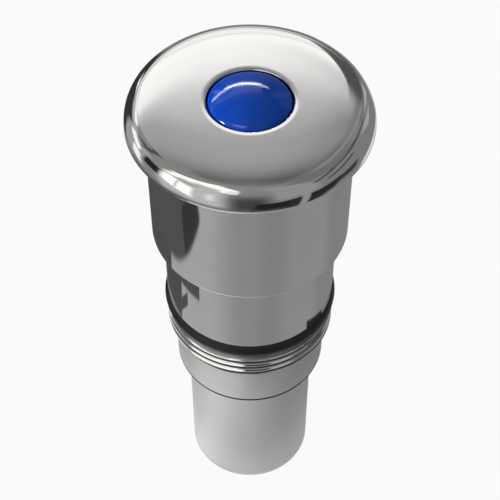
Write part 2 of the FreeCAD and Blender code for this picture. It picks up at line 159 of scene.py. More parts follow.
crest_share = 0.4
start_slope = 1.2
relief_slope = 1.5

# Sizes of the flash line that the mould leaves round the ring
flash_height = 0.05
flash_angle = 3

# Sizes of the satin body and cup. The painted shadow line at the joint is given above the lip.
lip_level = low("upper_body")
body_radius = reach("upper_body")
lip_bore = 15.9
body_seat = 15.05
body_edge = 0.3
joint_shadow_middle = 0.2
joint_shadow_half = 0.6
joint_shadow_softness = 0.1
cup_radius = reach("lower_cup")
cup_bore = 12.3
cup_edge = 0.35
cup_neck_radius = 12.9
cup_neck_bore = 10.5
cup_neck_top = high("lower_cup")
cup_shoulder = 2.4
web_level = 27.0
web_height = 3.0
seat_bore = 8.0
neck_seal_level = (low("neck_seal") + high("neck_seal")) / 2
neck_seal_groove = 1.7
neck_seal_floor = 11.42
port_count = 10
port_radius = 1.6
port_level = spigot_low - 4.0
drill_middle = 0.75

# Sizes of the spring
spring_low = low("return_spring")
spring_high = high("return_spring")
wire_radius = 0.7
coil_radius = reach("return_spring") - wire_radius
spring_turns = 6.5
spring_flat_turns = 0.5

# Fineness of the meshes. The two angles are in degrees.
turn_facets = 256
arc_step = 7.5
arc_fewest_steps = 3
plateau_steps = 40
support = 0.12
same_place = 1e-4
on_axis = 1e-5
axis_digits = 5
weld = 1e-4
sharp_angle = 35
thread_rows_per_pitch = 24
thread_closing_rows = 4
wire_facets = 16
coil_steps_per_turn = 48
port_facets = 24


# Outlines of turned pieces

def straight(start, end):
    """A run with one normal; the solid lies on its left.

    Two rings close to its ends keep its shading flat.
    """
    along = (end - start).normalized()
    normal = Vector((along.y, -along.x))
    points = [start, end]
    if (end - start).length > 4 * support:
        points[1:1] = [start + along * support, end - along * support]
    return [(point, normal) for point in points]


def arc(centre, radius, first, last):
    """A round run between two angles in degrees. It bulges outward where the angle grows."""
    side = math.copysign(1, last - first)
    steps = max(arc_fewest_steps, math.ceil(abs(last - first) / arc_step))
    run = []
    for step in range(steps + 1):
        angle = math.radians(first + (last - first) * step / steps)
        ray = Vector((math.cos(angle), math.sin(angle)))
        run.append((centre + radius * ray, side * ray))
    return run


def rounded(before, here, after, rounding):
    """The arc that takes the place of a corner."""
    back = (before - here).normalized()
    onward = (after - here).normalized()
    half = back.angle(onward) / 2
    middle = here + (back + onward).normalized() * rounding / math.sin(half)
    start = here + back * rounding / math.tan(half) - middle
    end = here + onward * rounding / math.tan(half) - middle
    first = math.degrees(math.atan2(start.y, start.x))
    last = math.degrees(math.atan2(end.y, end.x))
    return arc(middle, rounding, first, first + (last - first + 180) % 360 - 180)


def graph(height, first, last, steps):
    """A run inward along a formula that gives the height over the radius."""
    run = []
    for step in range(steps + 1):
        radius = first + (last - first) * step / steps
        tilt = (height(radius + support) - height(radius - support)) / (2 * support)
        run.append((Vector((radius, height(radius))), Vector((-tilt, 1)).normalized()))
    return run


def ends_of(item):
    """The first and the last point of a run, or a corner twice."""
    return (item[0][0], item[-1][0]) if isinstance(item, list) else (Vector(item[:2]),) * 2


def closed_outline(*items):
    """Joins runs and corners by straight runs. A corner is (radius, height), or rounded as well."""
    ends = [ends_of(item) for item in items]
    runs = []
    for at, item in enumerate(items):
        if isinstance(item, list):
            runs.append(item)
        elif len(item) == 3:
            following = ends[(at + 1) % len(items)][0]
            runs.append(rounded(ends[at - 1][1], ends[at][0], following, item[2]))
        else:
            runs.append([(ends[at][0], None)])
    joined = []
    for run, following in zip(runs, runs[1:] + runs[:1]):
        if len(run) > 1:
            joined.append(run)
        end, start = run[-1][0], following[0][0]
        if (start - end).length > same_place:
            joined.append(straight(end, start))
        else:
            following[0] = (end, following[0][1])
    return joined


def turned_mesh(name, outline):
    """The outline swept round the axis, with the exact normals of the turned surface."""
    vertices, rings, faces, normals = [], {}, [], []
    angles = [2 * math.pi * step / turn_facets for step in range(turn_facets)]
    rays = [(math.cos(angle), math.sin(angle)) for angle in angles]

    def ring(point):
        """The vertices round the axis at this point: on the axis one vertex, repeated."""
        key = (round(point.x, axis_digits), round(point.y, axis_digits))
        if key not in rings:
            start = len(vertices)
            if point.x < on_axis:
                vertices.append((0, 0, point.y * MM))
                rings[key] = [start] * turn_facets
            else:
                vertices.extend((point.x * MM * x, point.x * MM * y, point.y * MM) for x, y in rays)
                rings[key] = list(range(start, start + turn_facets))
        return rings[key]

    for run in outline:
        for (here, here_normal), (there, there_normal) in zip(run, run[1:]):
            lower, upper = ring(here), ring(there)
            for step in range(turn_facets):
                onward = (step + 1) % turn_facets
                corners = [(lower, step, here_normal), (lower, onward, here_normal),
                           (upper, onward, there_normal), (upper, step, there_normal)]
                if lower[0] == lower[1]:
                    corners.pop(0)
                elif upper[0] == upper[1]:
                    corners.pop()
                faces.append([level[at] for level, at, _ in corners])
                normals.extend((n.x * rays[at][0], n.x * rays[at][1], n.y) for _, at, n in corners)
    mesh = bpy.data.meshes.new(name)
    mesh.from_pydata(vertices, [], faces, shade_flat=False)
    mesh.normals_split_custom_set(normals)
    return mesh


# Objects in the scene

def linked(name, data):
    """A new object in the scene."""
    made = bpy.data.objects.new(name, data)
    bpy.context.scene.collection.objects.link(made)
    return made


def placed(name, mesh, body, slot, replaced=(), finish=None):
    """A finished piece: its body, its slot, the CAD nodes it replaces and its finish."""
    piece = linked(name, mesh)
    mesh.materials.clear()
    mesh.materials.append(finishes[finish or slot])
    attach(piece, body)
    if replaced:
        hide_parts(*replaced)
    return piece


# Node trees as expressions

def pick(sockets, key):
    """A socket by place, identifier or name."""
    if isinstance(key, int):
        return sockets[key]
    for socket in sockets:
        if socket.identifier == key:
            return socket
    return next(socket for socket in sockets if socket.name == key and socket.enabled)


class Wire:
    """One output socket. An expression on it adds its Math nodes."""

    def __init__(self, recipe, socket):
        self.recipe = recipe
        self.socket = socket

    def of(self, name):
        """Another output of the same node."""
        return Wire(self.recipe, pick(self.socket.node.outputs, name))

    def math(self, operation, *others):
        """A Math node on this value and then the others."""
        values = dict(enumerate((self, *others)))
        return self.recipe.node("ShaderNodeMath", values, operation=operation)

    def __add__(self, other):
        return self.math("ADD", other)

    def __sub__(self, other):
        return self.math("SUBTRACT", other)

    def __rsub__(self, other):
        return self.recipe.node("ShaderNodeMath", {0: other, 1: self}, operation="SUBTRACT")

    def __mul__(self, other):
        return self.math("MULTIPLY", other)

    def __truediv__(self, other):
        return self.math("DIVIDE", other)

    def __pow__(self, other):
        return self.math("POWER", other)

    def __gt__(self, other):
        return self.math("GREATER_THAN", other)

    def __lt__(self, other):
        return self.math("LESS_THAN", other)

    def __abs__(self):
        return self.math("ABSOLUTE")

    __radd__ = __add__
    __rmul__ = __mul__

    def least(self, other):
        """The smaller of the two."""
        return self.math("MINIMUM", other)

    def most(self, other):
        """The larger of the two."""
        return self.math("MAXIMUM", other)

    def smooth(self, start, end):
        """0 at start, 1 at end, with soft turns. It falls where start lies above end."""
        sockets = {"Value": self, "From Min": start, "From Max": end}
        return self.recipe.node("ShaderNodeMapRange", sockets, interpolation_type="SMOOTHSTEP")


class Recipe:
    """A node tree under construction."""

    def __init__(self, tree):
        self.tree = tree

    def node(self, kind, sockets=None, **settings):
        """Adds a node, sets it up and then feeds its sockets. Gives its first output."""
        made = self.tree.nodes.new(kind)
        for name, value in settings.items():
            if name == "stops":
                self.fill_ramp(made.color_ramp, value)
            else:
                setattr(made, name, value)
        for name, value in (sockets or {}).items():
            socket = pick(made.inputs, name)
            if isinstance(value, Wire):
                self.tree.links.new(value.socket, socket)
            else:
                socket.default_value = value
        outputs = [socket for socket in made.outputs if socket.enabled]
        return Wire(self, outputs[0]) if outputs else None

    @staticmethod
    def fill_ramp(ramp, stops):
        """Grey stops, each a place and a level."""
        while len(ramp.elements) < len(stops):
            ramp.elements.new(0.5)
        for element, (place, level) in zip(ramp.elements, stops):
            element.position = place
            element.color = (level, level, level, 1)

    def vector_math(self, operation, *values):
        """A Vector Math node."""
        return self.node("ShaderNodeVectorMath", dict(enumerate(values)), operation=operation)

    def place(self, stretch=(1, 1, 1)):
        """Object coordinates, stretched."""
        return self.vector_math("MULTIPLY", self.node("ShaderNodeTexCoord").of("Object"), stretch)

    def split(self, vector):
        """The three parts of a vector."""
        parts = self.node("ShaderNodeSeparateXYZ", {"Vector": vector})
        return parts, parts.of("Y"), parts.of("Z")

    def place_parts(self):
        """Object coordinates in millimetres: to the right, to the back, and up from the foot."""
        return self.split(self.place((1 / MM,) * 3))

    def noise(self, size, detail=2, stretch=(1, 1, 1), roughness=0.5):
        """Cloudy pattern from 0 to 1 with features of about this size in millimetres."""
        return self.node("ShaderNodeTexNoise", {
            "Vector": self.place(stretch),
            "Scale": 1 / (size * MM),
            "Detail": detail,
            "Roughness": roughness,
        }).of("Fac")

    def tint(self, share, first, second):
        """A colour between two, by a share from 0 to 1."""
        first, second = (end if isinstance(end, Wire) else (*end, 1) for end in (first, second))
        sockets = {"Factor_Float": share, "A_Color": first, "B_Color": second}
        return self.node("ShaderNodeMix", sockets, data_type="RGBA").of("Result_Color")

    def bump(self, height, depth):
        """A normal from a height of 0 to 1 that stands for this many millimetres."""
        return self.node("ShaderNodeBump", {
            "Height": height, "Strength": 1.0, "Distance": depth * MM,
        })

    def coat(self, sockets):
        """The shader of a finish."""
        return self.node("ShaderNodeBsdfPrincipled", sockets)


# Finishes

def finish(make):
    """A material whose surface and name come from a function of its recipe."""
    made = bpy.data.materials.new(make.__name__)
    made.use_nodes = True
    made.node_tree.nodes.clear()
    recipe = Recipe(made.node_tree)
    recipe.node("ShaderNodeOutputMaterial", {"Surface": make(recipe)})
    return made


chrome_plate = (0.885, 0.875, 0.858)


def polished_chrome(recipe):
    """Mirror plate with finger smears, fine polishing scratches and specks of dust."""
    smear = recipe.noise(14, 3).smooth(0.45, 0.75)
    streaks = recipe.noise(0.5, 4, (1, 1, 0.12)).smooth(0.55, 0.8)
    specks = recipe.noise(0.35, 0).smooth(0.78, 0.84)
    ripple = recipe.noise(7, 1)
    return recipe.coat({
        "Base Color": recipe.tint(smear, chrome_plate, (0.845, 0.833, 0.813)),
        "Metallic": 1.0,
        "Roughness": 0.04 + 0.03 * smear + 0.02 * streaks + 0.12 * specks,
        "Normal": recipe.bump(ripple, 0.005),
    })


def threaded_chrome(recipe):
    """Plate over a cut thread: bright on the crests, darkened down in the roots by painted shade.
    """
    across, along, _ = recipe.place_parts()
    depth = thread_radius - (across * across + along * along) ** 0.5
    # Painted shade: the plate colour darkens towards the thread's roots, where shade falls.
    root = depth.smooth(0.03, 0.3)
    return recipe.coat({
        "Base Color": recipe.tint(root, chrome_plate, (0.3, 0.296, 0.288)),
        "Metallic": 1.0,
        "Roughness": 0.03 + 0.03 * recipe.noise(0.6, 3) + 0.25 * root,
        "Normal": recipe.bump(recipe.noise(1.5, 2), 0.003),
    })


def turning_marks(recipe, size=0.12):
    """Fine rings round the axis, as a lathe leaves them."""
    return recipe.noise(size, 3, (0.02, 0.02, 1), 0.7)


def satin_nickel(recipe):
    """Matt plate over turned brass: clouds, faint rings, small bruises, and a near-black painted
    shadow line where the lip meets the cup.
    """
    rings = turning_marks(recipe)
    cloud = recipe.noise(9, 3)
    grain = recipe.noise(0.12, 2)
    bruise = recipe.noise(1.6, 1).smooth(0.72, 0.8)
    plate = recipe.tint(cloud, (0.705, 0.695, 0.68), (0.645, 0.635, 0.62))
    _, _, height = recipe.place_parts()
    # Painted shadow: a near-black band round the body's lip and the top of the cup just under it,
    # where the lip shades the joint.
    from_joint = abs(height - (lip_level + joint_shadow_middle))
    joint_shadow = from_joint.smooth(joint_shadow_half + joint_shadow_softness / 2, joint_shadow_half - joint_shadow_softness / 2)
    return recipe.coat({
        "Base Color": recipe.tint(joint_shadow, plate, (0.02,) * 3),
        "Metallic": 1.0,
        "Roughness": 0.33 + 0.08 * rings + 0.06 * cloud + 0.08 * bruise,
        "Normal": recipe.bump(0.7 * rings + 0.3 * grain, 0.004),
    })


def blue_index(recipe):
    """Glossy blue moulding whose colour deepens in random clouds and, as painted shade, towards its
    right side, under a clear face.
    """
    across, _, _ = recipe.place_parts()
    # Partly painted light: random clouds, plus a painted gradient that makes the blue lighter on
    # the left and darker towards the right.
    cloud = (0.4 * recipe.noise(4.5, 3) + 0.8 * across.smooth(-9, 5)).least(1)
    fleck = recipe.noise(0.4, 2)
    waves = recipe.noise(2.2, 1)
    return recipe.coat({
        "Base Color": recipe.tint(cloud, (0.0, 0.055, 0.46), (0.001, 0.035, 0.25)),
        "Roughness": 0.08 + 0.04 * fleck,
        "IOR": 1.4,
        "Normal": recipe.bump(waves, 0.0015),
    })


def black_rubber(recipe):
    """Moulded rubber, a little greasy, with fine grain and pale dust."""
    grain = recipe.noise(0.15, 3)
    grease = recipe.noise(3, 2)
    dust = recipe.noise(0.5, 2).smooth(0.62, 0.8)
    return recipe.coat({
        "Base Color": recipe.tint(dust, (0.012, 0.012, 0.012), (0.04, 0.04, 0.038)),
        "Roughness": 0.33 + 0.14 * grease + 0.1 * grain,
        "Normal": recipe.bump(grain, 0.012),
    })


def turned_brass(recipe):
    """Bright turned brass that has dulled in patches."""
    rings = turning_marks(recipe, 0.15)
    dull = recipe.noise(5, 4).smooth(0.4, 0.75)
    return recipe.coat({
        "Base Color": recipe.tint(dull, (0.78, 0.58, 0.28), (0.55, 0.38, 0.17)),
        "Metallic": 1.0,
        "Roughness": 0.22 + 0.1 * rings + 0.14 * dull,
        "Normal": recipe.bump(rings, 0.006),
    })


def stainless(recipe):
    """Turned and rolled stainless steel."""
    rings = turning_marks(recipe, 0.1)
    cloud = recipe.noise(4, 2)
    return recipe.coat({
        "Base Color": recipe.tint(cloud, (0.62, 0.61, 0.59), (0.52, 0.51, 0.50)),
        "Metallic": 1.0,
        "Roughness": 0.24 + 0.1 * rings + 0.06 * cloud,
        "Normal": recipe.bump(rings, 0.004),
    })


def drawn_wire(recipe):
    """Drawn spring wire with a faint oxide film."""
    film = recipe.noise(2.5, 3)
    drag = recipe.noise(0.1, 2, (1, 1, 0.4))
    return recipe.coat({
        "Base Color": recipe.tint(film, (0.52, 0.51, 0.49), (0.40, 0.38, 0.35)),
        "Metallic": 1.0,
        "Roughness": 0.28 + 0.12 * drag,
        "Normal": recipe.bump(drag, 0.004),
    })


def white_plastic(recipe):
    """Moulded white plastic with a fine eroded grain."""
    grain = recipe.noise(0.2, 3)
    shade = recipe.noise(6, 2)
    return recipe.coat({
        "Base Color": recipe.tint(shade, (0.84, 0.84, 0.80), (0.78, 0.77, 0.72)),
        "Roughness": 0.38 + 0.12 * grain,
        "Normal": recipe.bump(grain, 0.01),
    })


finishes = {slot: finish(make) for slot, make in {
    "chrome": polished_chrome,
    "thread_chrome": threaded_chrome,
    "satin_metal": satin_nickel,
    "index_blue": blue_index,
    "black_rubber": black_rubber,
    "brass": turned_brass,
    "stainless": stainless,
    "spring_wire": drawn_wire,
    "white_plastic": white_plastic,
}.items()}

for part in frame["record"]["subparts"]:
    mesh = frame["nodes"][part["node"]].data
    mesh.materials.clear()
    mesh.materials.append(finishes[part["material_slot"]])


# Shapes that follow a rule, grown by geometry nodes

def shape_tree(name, **inputs):
    """A geometry tree with named inputs by kind. Gives its recipe and a wire for each input."""
    tree = bpy.data.node_groups.new(name, "GeometryNodeTree")
    tree.interface.new_socket("Geometry", in_out="INPUT", socket_type="NodeSocketGeometry")
    labels = [(label, kind) for kind, group in inputs.items() for label in group]
    for label, kind in labels:
        tree.interface.new_socket(label, in_out="INPUT", socket_type="NodeSocket" + kind)
    tree.interface.new_socket("Geometry", in_out="OUTPUT", socket_type="NodeSocketGeometry")
    recipe = Recipe(tree)
    entry = recipe.node("NodeGroupInput")
    return recipe, {label: entry.of(label) for label in ("Geometry", *dict(labels))}


def end_tree(recipe, geometry, material):
    """Ends a tree as the export needs it: real meshes with their material."""
    real = recipe.node("GeometryNodeRealizeInstances", {"Geometry": geometry})
    coated = recipe.node("GeometryNodeSetMaterial", {"Geometry": real, "Material": material})
    recipe.node("NodeGroupOutput", {"Geometry": coated})
    return recipe.tree


def grown_mesh(name, tree, lengths, values, seed=None):
    """The plain mesh that a tree makes with these values: normals outward, corners sharp."""
    values = {label: length * MM for label, length in lengths.items()} | values
    grower = linked(name + "_grower", seed or bpy.data.meshes.new(name + "_seed"))
    modifier = grower.modifiers.new("shape", "NODES")
    modifier.node_group = tree
    for item in tree.interface.items_tree:
        if item.in_out == "INPUT" and item.name in values:
            modifier[item.identifier] = values[item.name]
    evaluated = grower.evaluated_get(bpy.context.evaluated_depsgraph_get())
    mesh = bpy.data.meshes.new_from_object(evaluated)
    mesh.name = name
    bpy.data.objects.remove(grower)
    sculpt = bmesh.new()
    sculpt.from_mesh(mesh)
    bmesh.ops.remove_doubles(sculpt, verts=sculpt.verts, dist=weld * MM)
    bmesh.ops.dissolve_degenerate(sculpt, dist=weld * MM, edges=sculpt.edges)
    bmesh.ops.recalc_face_normals(sculpt, faces=sculpt.faces)
    for face in sculpt.faces:
        face.smooth = True
    sharp = math.radians(sharp_angle)
    for edge in sculpt.edges:
        edge.smooth = len(edge.link_faces) != 2 or edge.calc_face_angle() < sharp
    sculpt.to_mesh(mesh)
    sculpt.free()
    return mesh


def at_radius(recipe, turn, radius, height):
    """The point at this share of a turn, radius and height."""
    angle = turn * (2 * math.pi)
    across = angle.math("COSINE") * radius
    along = angle.math("SINE") * radius
    return recipe.node("ShaderNodeCombineXYZ", {"X": across, "Y": along, "Z": height})


def screw_thread_tree():
    """A ring with a right-hand thread on its outside: rows of a grid follow the helix."""
    recipe, given = shape_tree("screw_thread", Float=[
        "Crest Radius", "Depth", "Bore Radius", "Low", "High", "Pitch", "Crest Height",
        "Root Share", "Crest Share", "End Radius", "Start Slope", "Relief Height", "Relief Slope",
    ], Int=["Rows Per Pitch", "Closing Rows", "Facets"], Material=["Finish"])
    low_end, high_end, pitch = given["Low"], given["High"], given["Pitch"]
    step = pitch / given["Rows Per Pitch"]
    rows = ((high_end - low_end + pitch) / step).math("CEIL") + given["Closing Rows"]
    grid = recipe.node("GeometryNodeMeshGrid", {
        "Size X": 1.0, "Size Y": 1.0, "Vertices X": given["Facets"] + 1, "Vertices Y": rows + 1,
    })
    across, along, _ = recipe.split(recipe.node("GeometryNodeInputPosition"))
    turn = across + 0.5
    row = (along + 0.5) * rows
    height = (low_end - pitch + (row - 1) * step + turn * pitch).most(low_end).least(high_end)
    phase = ((height - given["Crest Height"]) / pitch - turn + 0.5).math("FRACT")
    from_crest = abs(phase - 0.5) * 2
    ridge = from_crest.smooth(given["Root Share"], given["Crest Share"])
    root = given["Crest Radius"] - given["Depth"]
    threaded = given["Crest Radius"] - given["Depth"] * (1 - ridge)
    started = given["End Radius"] + (height - low_end) * given["Start Slope"]
    relieved = root + (given["Relief Height"] - height).most(0) * given["Relief Slope"]
    outer = threaded.least(started).least(relieved)
    outside = (row > 0.5) * (row < rows - 1.5)
    radius = given["Bore Radius"] + (outer - given["Bore Radius"]) * outside
    level = low_end + (height - low_end) * (row < rows - 0.5)
    place = at_radius(recipe, turn, radius, level)
    shaped = recipe.node("GeometryNodeSetPosition", {"Geometry": grid, "Position": place})
    return end_tree(recipe, shaped, given["Finish"])


def coil_spring_tree():
    """Wound wire whose end coils lie flat."""
    recipe, given = shape_tree("coil_spring", Float=[
        "Coil Radius", "Wire Radius", "Low", "High", "Turns", "Flat Turns",
    ], Int=["Steps Per Turn", "Wire Facets"], Material=["Finish"])
    steps = given["Turns"] * given["Steps Per Turn"]
    line = recipe.node("GeometryNodeMeshLine", {"Count": steps + 1})
    share = recipe.node("GeometryNodeInputIndex") / steps
    flat = given["Flat Turns"] / given["Turns"]
    rise = ((share - flat) / (1 - flat * 2)).most(0).least(1)
    first = given["Low"] + given["Wire Radius"]
    last = given["High"] - given["Wire Radius"]
    height = first + (last - first) * rise
    place = at_radius(recipe, share * given["Turns"], given["Coil Radius"], height)
    wound = recipe.node("GeometryNodeSetPosition", {"Geometry": line, "Position": place})
    path = recipe.node("GeometryNodeMeshToCurve", {"Mesh": wound})
    section = recipe.node("GeometryNodeCurvePrimitiveCircle", {
        "Resolution": given["Wire Facets"], "Radius": given["Wire Radius"],
    })
    wire = recipe.node("GeometryNodeCurveToMesh", {
        "Curve": path, "Profile Curve": section, "Fill Caps": True,
    })
    return end_tree(recipe, wire, given["Finish"])


def ring_of_holes_tree():
    """Radial holes drilled through a turned wall."""
    recipe, given = shape_tree("ring_of_holes", Float=[
        "Hole Radius", "Level", "Reach", "Drill Middle",
    ], Int=["Count", "Hole Facets"], Material=["Finish"])
    count, length = given["Count"], given["Reach"]
    drill = recipe.node("GeometryNodeMeshCylinder", {
        "Vertices": given["Hole Facets"], "Radius": given["Hole Radius"], "Depth": length,
    })
    turn = (recipe.node("GeometryNodeInputIndex") + 0.5) / count
    place = at_radius(recipe, turn, length * given["Drill Middle"], given["Level"])
    spots = recipe.node("GeometryNodePoints", {"Count": count, "Position": place})
    aim = recipe.node("ShaderNodeCombineXYZ", {"Y": math.pi / 2, "Z": turn * (2 * math.pi)})
    drills = recipe.node("GeometryNodeInstanceOnPoints", {
        "Points": spots, "Instance": drill, "Rotation": aim,
    })
    solid_drills = recipe.node("GeometryNodeRealizeInstances", {"Geometry": drills})
    drilled = recipe.node("GeometryNodeMeshBoolean", {
        "Mesh 1": given["Geometry"], "Mesh 2": solid_drills,
    }, operation="DIFFERENCE")
    return end_tree(recipe, drilled, given["Finish"])


# The button and its index

def plateau_height(radius):
    """The top falls gently, then faster towards the crease, and rolls a little into the recess."""
    drop = (plateau_level - crease_level) * (radius / crease_radius) ** plateau_power
    into_lip = max(0, 1 - (radius - recess_wall_radius) / lip_reach)
    return plateau_level - drop - lip_drop * into_lip ** 3


def bead():
    """The rolled rim from the neck up to the crease: fuller than a circle, tight underneath."""
    inset = (crease_radius - bead_centre) / bead_round
    above = (crease_level - bead_level) / (1 - inset ** bead_power) ** (1 / bead_power)
    last = math.acos(inset ** (bead_power / 2))
    run = []
    for step in range(bead_steps + 1):
        angle = (last + math.pi / 2) * step / bead_steps - math.pi / 2
        side, tall = (1, above) if angle > 0 else (-1, bead_under)
        out = abs(math.cos(angle)) ** (2 / bead_power)
        up = abs(math.sin(angle)) ** (2 / bead_power)
        point = Vector((bead_centre + bead_round * out, bead_level + side * tall * up))
        lean = Vector((out ** (bead_power - 1) / bead_round, side * up ** (bead_power - 1) / tall))
        run.append((point, lean.normalized()))
    return run


def button_cap():
    """Mushroom head, bead and long skirt in one piece."""
    lip_start = recess_wall_radius + lip_round
    rise = plateau_height(lip_start + support) - plateau_height(lip_start - support)
    lean = math.atan2(rise, 2 * support)
    upward = Vector((-math.sin(lean), math.cos(lean)))
    lip_middle = Vector((lip_start, plateau_height(lip_start))) - lip_round * upward
    outline = closed_outline(
        (skirt_radius, skirt_low, skirt_edge_round),
        (skirt_radius, neck_level, neck_round),
        bead(),
        graph(plateau_height, crease_radius, lip_start, plateau_steps),
        arc(lip_middle, lip_round, 90 + math.degrees(lean), 180),
        (recess_wall_radius, recess_floor, recess_corner),
        (screw_bore, recess_floor),
        (screw_bore, socket_top),
        (stem_bore, socket_top),
        (stem_bore, boss_low),
        (boss_radius, boss_low, skirt_edge_round),
        (boss_radius, head_underside),
        (skirt_bore, head_underside),
        (skirt_bore, skirt_low, recess_corner),
    )
    mesh = turned_mesh("button_mirror", outline)
    placed("button_mirror", mesh, "plunger", "chrome", ["button_cap"])


def index_dome():
    """The crowned index in the recess, hollow over the screw."""
    edge_level = dome_floor - dome_seat_gap + dome_edge_height
    rise = dome_crown - edge_level
    ball = (dome_radius ** 2 + rise ** 2) / (2 * rise)
    middle = Vector((0, dome_crown - ball))
    inset = dome_radius - dome_edge_round
    lift = math.sqrt((ball - dome_edge_round) ** 2 - inset ** 2)
    meeting = math.degrees(math.atan2(lift, inset))
    outline = closed_outline(
        (dome_hollow, dome_floor),
        (dome_radius, dome_floor),
        arc(middle + Vector((inset, lift)), dome_edge_round, 0, meeting),
        arc(middle, ball, meeting, 90),
        (0, dome_crown - dome_roof),
        (dome_hollow, dome_crown - dome_roof),
    )
    # A run along the axis sweeps nothing
    swept = [run for run in outline if run[0][0].x + run[-1][0].x > same_place]
    mesh = turned_mesh("index_gloss", swept)
    return placed("index_gloss", mesh, "plunger", "index_blue", ["index_dome"])


# The bonnet: guide sleeve, ring groove and thread

def bonnet():
    """Guide sleeve, ring groove and spigot. Inside the thread only a core is left."""
    spring_room = sleeve_radius - sleeve_wall
    groove_floor = ring_mean - ring_section
    outline = closed_outline(
        (bonnet_bore, spigot_low),
        (spigot_radius, spigot_low, sleeve_edge),
        (spigot_radius, thread_level + groove_tuck),
        (thread_core, thread_level + groove_tuck),
        (thread_core, ring_low - groove_tuck),
        (groove_floor, ring_low - groove_tuck),
        (groove_floor, ring_high),
        (sleeve_radius, ring_high, sleeve_edge),
        (sleeve_radius, bonnet_top, sleeve_edge),
        (spring_room, bonnet_top, sleeve_edge),
        (spring_room, clip_high),
        (spring_room + clip_bite, clip_high),
        (spring_room + clip_bite, clip_low),
        (spring_room, clip_low),
        (spring_room, bush_flange_low),
        (bonnet_bore, bush_flange_low),
    )
    mesh = turned_mesh("guide_sleeve", outline)
    placed("guide_sleeve", mesh, "housing", "chrome", ["bonnet"])


def male_thread():
    """The cut thread round the bonnet's core."""
    mesh = grown_mesh("male_thread", screw_thread_tree(), {
        "Crest Radius": thread_radius,
        "Depth": thread_depth,
        "Bore Radius": thread_bore,
        "Low": thread_level,
        "High": ring_low,
        "Pitch": thread_pitch,
        "Crest Height": thread_crest,
        "End Radius": thread_end_radius,
        "Relief Height": thread_relief,
    }, {
        "Root Share": root_share,
        "Crest Share": crest_share,
        "Start Slope": start_slope,
        "Relief Slope": relief_slope,
        "Rows Per Pitch": thread_rows_per_pitch,
        "Closing Rows": thread_closing_rows,
        "Facets": turn_facets,
        "Finish": finishes["thread_chrome"],
    })
    placed("male_thread", mesh, "housing", "chrome", finish="thread_chrome")


def flange_ring():
    """O-ring with the fine flash line that the two mould halves leave."""
    centre = Vector((ring_mean, ring_level))
    outline = closed_outline(
        arc(centre, ring_section - flash_height, flash_angle, 360 - flash_angle),
        (ring_mean + ring_section, ring_level),
    )
    mesh = turned_mesh("sealing_ring", outline)
    placed("sealing_ring", mesh, "housing", "black_rubber", ["flange_ring"])


# The satin body and cup

def upper_body():
    """Shroud on the bonnet's spigot; its lip leaves the outlet slot round the cup."""
    outline = closed_outline(
        (lip_bore, lip_level, body_edge / 2),
        (body_radius, lip_level, body_edge),
        (body_radius, thread_level, body_edge),
        (body_seat, thread_level),
        (body_seat, spigot_low),
        (lip_bore, spigot_low),
    )
    mesh = turned_mesh("satin_body", outline)
    placed("satin_body", mesh, "housing", "satin_metal", ["upper_body"])


def lower_cup():
    """Long cup with a neck, a web for the valve seat and a ring of outlet ports."""
    shoulder = spigot_low - cup_shoulder
    groove_low = neck_seal_level - neck_seal_groove / 2
    groove_high = neck_seal_level + neck_seal_groove / 2
    outline = closed_outline(
        (cup_bore, 0),
        (cup_radius, 0, cup_edge),
        (cup_radius, spigot_low),
        (cup_neck_radius, spigot_low),
        (cup_neck_radius, groove_low),
        (neck_seal_floor, groove_low),
        (neck_seal_floor, groove_high),
        (cup_neck_radius, groove_high),
        (cup_neck_radius, cup_neck_top),
        (cup_neck_bore, cup_neck_top),
        (cup_neck_bore, shoulder + cup_bore - cup_neck_bore),
        (cup_bore, shoulder),
        (cup_bore, web_level + web_height),
        (seat_bore, web_level + web_height),
        (seat_bore, web_level),
        (cup_bore, web_level),
    )
    mesh = grown_mesh("satin_cup", ring_of_holes_tree(), {
        "Hole Radius": port_radius,
        "Level": port_level,
        "Reach": cup_radius,
    }, {
        "Count": port_count,
        "Hole Facets": port_facets,
        "Drill Middle": drill_middle,
        "Finish": finishes["satin_metal"],
    }, turned_mesh("cup_blank", outline))
    placed("satin_cup", mesh, "housing", "satin_metal", ["lower_cup"])


def return_spring():
    """The wound spring, between the ends of the CAD spring."""
    mesh = grown_mesh("wound_spring", coil_spring_tree(), {
        "Coil Radius": coil_radius,
        "Wire Radius": wire_radius,
        "Low": spring_low,
        "High": spring_high,
    }, {
        "Turns": spring_turns,
        "Flat Turns": spring_flat_turns,
        "Steps Per Turn": coil_steps_per_turn,
        "Wire Facets": wire_facets,
        "Finish": finishes["spring_wire"],
    })
    spring = placed("wound_spring", mesh, "housing", "spring_wire", ["return_spring"])
    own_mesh(spring)


button_cap()
index = index_dome()
bonnet()
male_thread()
flange_ring()
upper_body()
lower_cup()
return_spring()


# The studio: floor, reflected surroundings, lamps and camera

floor_half = 6000
tent_radius = 2500
tent_cut = 10
tent_facets = (64, 32)
head_height = 110
card_inner = 15
card_level = 0.3
card_facets = 96
card_end = (121, 131)
lamp_distance = 1200
sky_light = 0.45
white = (1, 1, 1, 1)
camera_white = 0.93
mirror_white = 0.6
camera_place = (0, -182.76, 293.2)
camera_tilt = 39.75
camera_lens = 92.7
camera_sensor = 36.0
to_degrees = 180 / math.pi


def staged(name, mesh, make):
    """A prop of the studio, which isn't part of the object."""
    prop = linked(name, mesh)
    mesh.materials.append(finish(make))
    return prop


def glow(recipe, level):
    """White light; its level is the brightness of its colour."""
    return recipe.node("ShaderNodeEmission", {"Color": level, "Strength": 1.0})


def pale_floor(recipe):
    """White paper: the camera sees it nearly white, and it keeps the object's shadow."""
    colour = recipe.tint(recipe.noise(1.5, 3), (0.86,) * 3, (0.83,) * 3)
    paper = recipe.node("ShaderNodeBsdfDiffuse", {"Color": colour})
    paths = recipe.node("ShaderNodeLightPath")
    mirrored = paths.of("Is Glossy Ray") + paths.of("Is Transmission Ray")
    seen = paths.of("Is Camera Ray") * camera_white + mirrored * mirror_white
    return recipe.node("ShaderNodeMixShader", {0: seen, 1: paper, 2: glow(recipe, white)})


